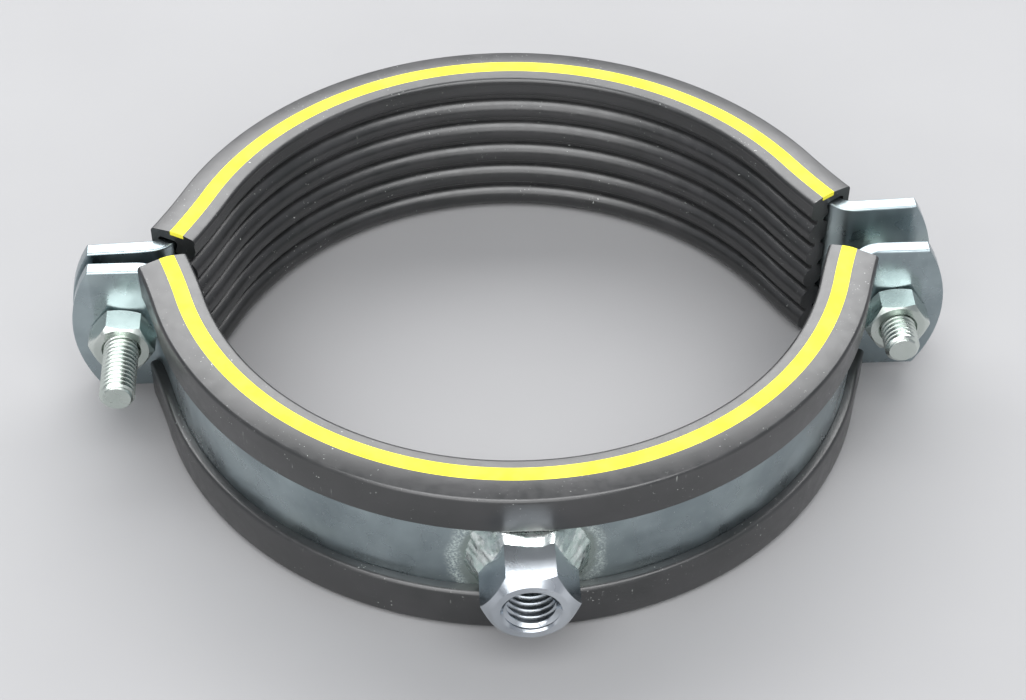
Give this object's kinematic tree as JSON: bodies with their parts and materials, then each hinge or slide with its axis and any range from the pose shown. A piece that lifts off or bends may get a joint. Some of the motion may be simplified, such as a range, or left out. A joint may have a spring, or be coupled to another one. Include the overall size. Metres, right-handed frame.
{
  "type": "rubber-lined two-bolt pipe clamp",
  "caption": "Two-piece steel pipe clamp with a ribbed rubber lining, flat bolted ears at each side and a threaded hexagon boss welded on the front.",
  "frame": {"origin": "centre of the front half's arc, in the plane that the lining's lower rim stands on", "axes": "+Z along the pipe, upwards as the clamp stands; -Y towards the threaded boss; +X towards the right-hand ears, seen from the boss"},
  "size_m": [0.1995, 0.1585, 0.0424],
  "materials": {
    "strip_steel": "zinc plated, satin",
    "lining_rubber": "matt extruded rubber",
    "stripe_rubber": "matt coloured rubber",
    "boss_steel": "zinc plated, machined",
    "weld_steel": "zinc plated over a rough weld",
    "fastener_steel": "zinc plated, bright"
  },
  "bodies": {
    "front_half": {"band_front": "strip_steel", "lining_front": "lining_rubber", "stripe_front": "stripe_rubber", "boss_nut": "boss_steel", "boss_weld": "weld_steel"},
    "rear_half": {"band_rear": "strip_steel", "lining_rear": "lining_rubber", "stripe_rear": "stripe_rubber", "washer_right": "fastener_steel"},
    "washer_left": {"washer_left": "fastener_steel"},
    "bolt_left": {"bolt_left": "fastener_steel"},
    "bolt_right": {"bolt_right": "fastener_steel"},
    "nut_left": {"nut_left": "fastener_steel"},
    "nut_right": {"nut_right": "fastener_steel"}
  },
  "joints": [
    {"name": "left_draw", "type": "hinge", "parent": "front_half", "child": "washer_left", "pos_m": [0.0882, 0.00729, 0.0212], "axis": [0, 0, 1], "range_deg": [-4.22, 0.58]},
    {"name": "left_bolt", "type": "slide", "parent": "front_half", "child": "bolt_left", "axis": [0, -1, 0], "range_m": [-0.013, 0.0018]},
    {"name": "right_draw", "type": "hinge", "parent": "washer_left", "child": "rear_half", "pos_m": [-0.0882, 0.00199, 0.0212], "axis": [0, 0, -1], "range_deg": [-1.6, 3.25]},
    {"name": "right_bolt", "type": "slide", "parent": "front_half", "child": "bolt_right", "axis": [0, -1, 0], "range_m": [-0.005, 0.0101]},
    {"name": "nut_left_turn", "type": "hinge", "parent": "front_half", "child": "nut_left", "pos_m": [-0.0882, -0.0114, 0.0212], "axis": [0, 1, 0], "range_deg": [-3760, 522]},
    {"name": "nut_right_turn", "type": "hinge", "parent": "front_half", "child": "nut_right", "pos_m": [0.0882, -0.0114, 0.0212], "axis": [0, 1, 0], "range_deg": [-1425, 2890]}
  ],
  "couplings": [
    {"joint": "left_bolt", "follows": "left_draw", "m_per_rad": 0.1764},
    {"joint": "nut_left_turn", "follows": "left_draw", "ratio": 886.68},
    {"joint": "right_bolt", "follows": "right_draw", "m_per_rad": 0.1764},
    {"joint": "nut_right_turn", "follows": "right_draw", "ratio": 886.68}
  ]
}
